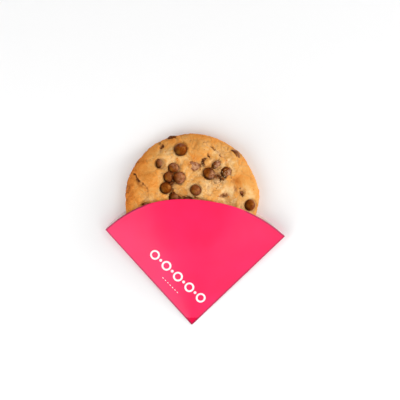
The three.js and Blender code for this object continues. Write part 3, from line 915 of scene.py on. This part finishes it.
def makeChocolateBits():
    vertices, faces = [], []
    for x, y, length, width, turn in chocolateBits:
        z = heightsOver(doughTree, [x], [y])[0]
        shift = Vector((x, y, length)) * 3
        along, across, up = (unevenBall(0.5, 2.2, shift) * [length, width, 0.9 * width]).T
        cosine, sine = heading(turn)
        turnedX, turnedY = along * cosine - across * sine, along * sine + across * cosine
        addLump(vertices, faces, np.column_stack([x + turnedX, y + turnedY, z + up]))
    piece = makePiece("chocolateBits", vertices, faces, [chocolateMaterial])
    addAttribute(piece, "film", [0.1] * len(vertices))
    # through the chips' painted-shade channel, here only a flat darker tone
    addAttribute(piece, "sunk", [0.35] * len(vertices))
    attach(piece, "root")


makeChocolateBits()
print("chocolate bits made")

sleeveForm = {
    "edge": 88.5,
    "halfAngle": math.radians(44),
    "tip": (3.2, -85.6),
    "thickness": 0.4,
    "seam": 1,
    "tipRise": 0.4,
    "cornerRise": 7,
    "frontDip": 1.9,
    "dipPower": 5,
    "backExtra": 3.4,
    "extraPower": 0.6,
    "leftBulge": 0.4,  # both mouths reach this much further halfway to the left corner
    "rightDraw": 1.3,  # and this much less halfway to the right one
    "roomSide": 1.3,
    "roomCrown": 2.2,
    "roomRings": 24,
    "roomSegments": 168,
    "roomCrowding": 0.8,  # of its rings towards its edge
    "roomReach": 1.06,  # how far past the mouth its edges go, in lengths of the edge
    "softening": 70,  # how often its bends are eased
    "foldBulge": 0.3,
    "foldRows": 3,
    "rows": 130,
    "columns": 100,
    "tipShadeLength": 4.8,  # length of the painted shade at the tip
}
edgeSine, edgeCosine = math.sin(sleeveForm["halfAngle"]), math.cos(sleeveForm["halfAngle"])


# Rings round the cookie's room, and the seams, as in the solid but with finer rings
def roomAndSeams(grow, inset):
    form = sleeveForm
    points = []
    side = cookieForm["radius"] + form["roomSide"]
    rings = []
    for step in range(1, form["roomRings"] + 1):
        share = math.sin(math.pi / 2 * step / form["roomRings"]) ** form["roomCrowding"]
        steep = share ** 6
        height = domeHeight(share, cookieForm["crown"] + form["roomCrown"]) + grow * (1 - steep)
        rings.append((share * side + grow * steep, height))
    rings.append((side - 1 + grow, cookieForm["waist"] / 2))
    rings.append((cookieForm["foot"] + form["roomSide"], form["thickness"] - grow))
    for radius, height in rings:
        for i in range(form["roomSegments"]):
            angle = 2 * math.pi * i / form["roomSegments"]
            points.append((radius * math.cos(angle), radius * math.sin(angle), height))
    tipX, tipY = form["tip"]
    lifts = (-grow, grow) if grow else (0,)
    points += [(tipX, tipY + inset / edgeSine, form["tipRise"] + lift) for lift in lifts]
    reach = form["edge"] * form["roomReach"]
    rise = form["tipRise"] + (form["cornerRise"] - form["tipRise"]) * form["roomReach"]
    for hand in (-1, 1):
        x = tipX + hand * (reach * edgeSine - inset * edgeCosine)
        y = tipY + reach * edgeCosine + inset * edgeSine
        points += [(x, y, rise + lift) for lift in lifts]
    return points


# The heights of the hull of some points, over and under each place
def hullHeights(points, x, y):
    shape = bmesh.new()
    for p in points:
        shape.verts.new(p)
    bmesh.ops.convex_hull(shape, input=shape.verts)
    shape.normal_update()
    centre = Vector(np.mean(points, axis=0))
    over, below = np.full(np.shape(x), np.inf), np.full(np.shape(x), -np.inf)
    for face in shape.faces:
        normal, corner = face.normal, face.verts[0].co
        if normal.dot(corner - centre) < 0:
            normal = -normal
        if abs(normal.z) < 1e-3:
            continue
        plane = (normal.dot(corner) - normal.x * x - normal.y * y) / normal.z
        if normal.z > 0:
            over = np.minimum(over, plane)
        else:
            below = np.maximum(below, plane)
    shape.free()
    return over, below


def mouthReach(share, extra, power):
    middle = np.cos(np.clip(share, -1, 1) * math.pi / 2) ** power
    skew = np.where(share < 0, sleeveForm["leftBulge"], sleeveForm["rightDraw"])
    return sleeveForm["edge"] + extra * middle - skew * np.sin(share * math.pi)


# Plan of one face of the card: rows from tip to mouth, columns from the left edge to the right
def cardPlan(extra, power, inset):
    form = sleeveForm
    rows = np.linspace(0, 1, form["rows"])[:, None]
    across = np.linspace(-1, 1, form["columns"])[None, :]
    least = inset / edgeSine * 1.02
    reach = least + (mouthReach(across, extra, power) - least) * rows
    narrower = np.arcsin(np.clip(inset / np.maximum(reach, 1e-6), 0, 1)) if inset else 0
    angle = across * (form["halfAngle"] - narrower)
    return form["tip"][0] + reach * np.sin(angle), form["tip"][1] + reach * np.cos(angle)


def eased(heights, times):
    for _ in range(times):
        padded = np.pad(heights, 1, mode="edge")
        mean = (padded[:-2, 1:-1] + padded[2:, 1:-1] + padded[1:-1, :-2] + padded[1:-1, 2:]) / 4
        inner = heights[1:-1, 1:-1] + 0.6 * (mean[1:-1, 1:-1] - heights[1:-1, 1:-1])
        heights = heights.copy()
        heights[1:-1, 1:-1] = inner
    return heights


# Bends eased everywhere, and much more towards the tip, where the grid is finer
def smoothed(heights):
    heights = eased(heights, sleeveForm["softening"])
    nearTip = 1 - smoothStep(0.12, 0.44, np.linspace(0, 1, len(heights)))[:, None]
    return heights + (eased(heights, 8 * sleeveForm["softening"]) - heights) * nearTip


def makeSleeve():
    form = sleeveForm
    faces, faceMaterials, points, loops = [], [], [], []
    columns, rounds = form["columns"], form["foldRows"]
    for grow, inset in ((form["thickness"], 0), (0, form["seam"])):
        room = roomAndSeams(grow, inset)
        frontX, frontY = cardPlan(-form["frontDip"], form["dipPower"], inset)
        backX, backY = cardPlan(form["backExtra"], form["extraPower"], inset)
        front = smoothed(hullHeights(room, frontX, frontY)[0])
        back = smoothed(hullHeights(room, backX, backY)[1])
        frontFace = np.dstack([frontX, frontY, front])
        backFace = np.dstack([backX, backY, back])[:, ::-1]
        if inset:
            loop = [frontFace, backFace[:, 1:-1]]
        else:
            loop = [frontFace, foldRound(frontFace[:, -1], backFace[:, 0], rounds),
                    backFace, foldRound(backFace[:, -1], frontFace[:, 0], rounds)]
        loops.append(np.concatenate(loop, axis=1))
    lastRows = []
    for layer, loop in enumerate(loops):
        rows, around = loop.shape[:2]
        start, middle = len(points), len(points) + rows * around
        points += loop.reshape(-1, 3).tolist() + [loop[0].mean(axis=0).tolist()]
        made = []
        for i in range(start, start + (rows - 1) * around, around):
            for j in range(around):
                k = (j + 1) % around
                made.append([i + j, i + k, i + around + k, i + around + j])
        made += [[start + (j + 1) % around, start + j, middle] for j in range(around)]
        faces += [face[::-1] for face in made] if layer else made
        faceMaterials += [layer] * len(made)
        lastRows.append((middle - around, around))
    # The cut edge of the mouth joins the last row of the outer face to that of the inner one
    (outerLast, outerAround), (innerLast, _) = lastRows
    pairs = [(j, j) for j in range(columns)]
    pairs += [(columns + j, columns - 1) for j in range(rounds)]
    pairs += [(columns + rounds + j, columns - 1 + j) for j in range(columns - 1)]
    pairs += [(columns + rounds + columns - 1 + j, 0) for j in range(rounds + 1)]
    for (a, b), (c, d) in zip(pairs, pairs[1:] + pairs[:1]):
        rim = [outerLast + a % outerAround, outerLast + c % outerAround, innerLast + d, innerLast + b]
        faces.append(list(dict.fromkeys(rim)))
        faceMaterials.append(2)
    points = np.array(points)
    # Painted shade along the folded edges and the mouth's wings, and the painted shade at the tip, for
    # the material
    dx, dy = points[:, 0] - form["tip"][0], points[:, 1] - form["tip"][1]
    toEdge = dy * edgeSine - np.abs(dx) * edgeCosine
    up = dy - 0.04 * dx  # the border of the tip's painted shade lies level in the view
    for k, face in enumerate(faces):
        if faceMaterials[k] == 0 and up[face].mean() < form["tipShadeLength"]:
            faceMaterials[k] = 3
    materials = [outsideMaterial, insideMaterial, shadedCutEdgeMaterial, tipShadeMaterial]
    piece = makePiece("sleeveCard", points, faces, materials, faceMaterials)
    share = np.arctan2(dx, dy) / form["halfAngle"]
    toMouth = mouthReach(share, -form["frontDip"], form["dipPower"]) - np.hypot(dx, dy)
    front = np.zeros(len(points), bool)
    front[:rows * outerAround].reshape(rows, outerAround)[:, :columns] = True
    # painted shade along the mouth's edge on the front, out on the wings
    mouthShadeLine = front * smoothStep(0.46, 0.56, np.abs(share)) * (1 - smoothStep(0.6, 1.6, toMouth))
    addAttribute(piece, "paintedEdgeShade", np.maximum(1 - smoothStep(0.3, 1.3, toEdge), mouthShadeLine))
    # painted shade at the tip
    addAttribute(piece, "tip", 1 - smoothStep(form["tipShadeLength"] - 0.2, form["tipShadeLength"] + 0.2, up))
    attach(piece, "root")
    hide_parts("sleeve")
    return BVHTree.FromPolygons(points.tolist(), faces)


# Points that round the fold from one face of the card to the other
def foldRound(first, last, count):
    made = []
    for j in range(1, count + 1):
        share = j / (count + 1)
        bulge = sleeveForm["foldBulge"] * math.sin(share * math.pi)
        between = first + (last - first) * share
        outward = np.sign(first[:, 0] - sleeveForm["tip"][0] + 1e-9)
        between[:, 0] += bulge * outward * edgeCosine
        between[:, 1] -= bulge * edgeSine
        made.append(between)
    return np.stack(made, axis=1)


cardTree = makeSleeve()
print("sleeve made")

# A plain printed pattern: rings and dots in a row along the left edge, and a dashed line under it
printLook = {
    "start": (10.0, 17.2),  # along the edge from the tip, and in from it
    "end": (53.0, 14.0),
    "rings": 5,
    "ringSize": 6.8,
    "stroke": 1.3,
    "dotSize": 2.0,
    "dashes": 7,
    "dashStart": (23.5, 7.8),
    "dashEnd": (37.5, 7.2),
    "dashSize": (1.2, 0.5),
    "thickness": 0.06,
    "sunk": 0.1,  # how far it reaches into the card
    "corners": 36,
    "pinhole": (0.04, 0.02),  # opening left in a dot and in a dash
}


# Where a place on the card is, from how far along the left edge it lies and how far in
def onCard(along, inward):
    x, y = sleeveForm["tip"]
    return x - along * edgeSine + inward * edgeCosine, y + along * edgeCosine + inward * edgeSine


def makePrint():
    look = printLook
    vertices, faces = [], []

    # A flat shape between an inner and an outer outline, laid on the card
    def addShape(inner, outer):
        start, around = len(vertices), len(outer)
        for outline in (inner, outer):
            heights = heightsOver(cardTree, [p[0] for p in outline], [p[1] for p in outline])
            for lift in (look["thickness"], -look["sunk"]):
                vertices.extend([px, py, z + lift] for (px, py), z in zip(outline, heights))
        innerTop, innerLow, outerTop, outerLow = (start + around * k for k in range(4))
        rings = [innerTop, outerTop, outerLow, innerLow, innerTop]
        for first, second in zip(rings, rings[1:]):
            faces.extend(ringFaces(first, second, around))

    def oval(x, y, length, width, turn):
        points = []
        for i in range(look["corners"]):
            a = 2 * math.pi * i / look["corners"]
            along, across = length / 2 * math.cos(a), width / 2 * math.sin(a)
            points.append((x + along * math.cos(turn) - across * math.sin(turn),
                           y + along * math.sin(turn) + across * math.cos(turn)))
        return points

    def between(start, end, share):
        return onCard(*(a + (b - a) * share for a, b in zip(start, end)))

    edgeTurn = math.pi / 2 + sleeveForm["halfAngle"]
    steps = 2 * look["rings"] - 1
    for k in range(steps):
        x, y = between(look["start"], look["end"], k / (steps - 1))
        size = look["dotSize"] if k % 2 else look["ringSize"]
        hole = look["pinhole"][0] if k % 2 else size - 2 * look["stroke"]
        addShape(oval(x, y, hole, hole, 0), oval(x, y, size, size, 0))
    for k in range(look["dashes"]):
        x, y = between(look["dashStart"], look["dashEnd"], k / (look["dashes"] - 1))
        addShape(oval(x, y, *look["pinhole"], edgeTurn), oval(x, y, *look["dashSize"], edgeTurn))
    piece = makePiece("printedRow", vertices, faces, [inkMaterial])
    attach(piece, "root")


makePrint()
print("print made")

viewSetup = {
    "lens": 100,
    "sensor": 36,
    "wide": 274.7,  # what the picture takes in, at the height of the cookie's waist
    "middle": (5.7, 0.7),
    "roll": 2.1,  # degrees
}

# Place in metres, size, power in watts
lightSetup = {
    "key": ((1.55, 1.35, 2.4), 2.0, 18.5),
    "rake": ((1.3, 0.5, 0.42), 0.5, 11),
    "left": ((-0.55, -0.2, 0.78), 0.5, 2.2),
    "right": ((0.6, -0.3, 0.76), 0.5, 1.8),
    "lowLeft": ((-0.6, -0.66, 0.46), 0.65, 4.4),
    "lowRight": ((0.5, -0.66, 0.62), 0.5, 1.0),
    "low": ((-0.08, -0.62, 0.78), 0.4, 0.6),
}
worldStrength = 0.31


def makeCamera():
    camera = bpy.data.objects.new("camera", bpy.data.cameras.new("camera"))
    camera.data.lens = viewSetup["lens"]
    camera.data.sensor_width = viewSetup["sensor"]
    distance = viewSetup["wide"] * viewSetup["lens"] / viewSetup["sensor"]
    x, y = viewSetup["middle"]
    camera.location = Vector((x, y, cookieForm["waist"] + distance)) * mm
    camera.rotation_euler = (0, 0, math.radians(viewSetup["roll"]))
    bpy.context.scene.collection.objects.link(camera)
    bpy.context.scene.camera = camera


def makeLights():
    aim = Vector((0, -0.015, 0.01))
    for name, (place, size, power) in lightSetup.items():
        lamp = bpy.data.lights.new(name, "AREA")
        lamp.size = size
        lamp.energy = power
        holder = bpy.data.objects.new(name, lamp)
        holder.location = place
        holder.rotation_euler = (aim - Vector(place)).to_track_quat("-Z", "Y").to_euler()
        bpy.context.scene.collection.objects.link(holder)
    world = bpy.data.worlds.new("studio")
    world.use_nodes = True
    background = world.node_tree.nodes["Background"]
    background.inputs["Color"].default_value = (1, 1, 1, 1)
    background.inputs["Strength"].default_value = worldStrength
    bpy.context.scene.world = world


def makeFloor():
    shade = Shade("paleFloor")
    shade.set(Base_Color=(0.9, 0.9, 0.9, 1), Roughness=0.9)
    half, low = 3000, -0.1
    corners = [(-half, -half, low), (half, -half, low), (half, half, low), (-half, half, low)]
    floor = makePiece("floor", corners, [(0, 1, 2, 3)], [shade.material])


makeCamera()
makeLights()
makeFloor()
bpy.context.scene.view_settings.view_transform = "Standard"
print("camera, lights and floor made")
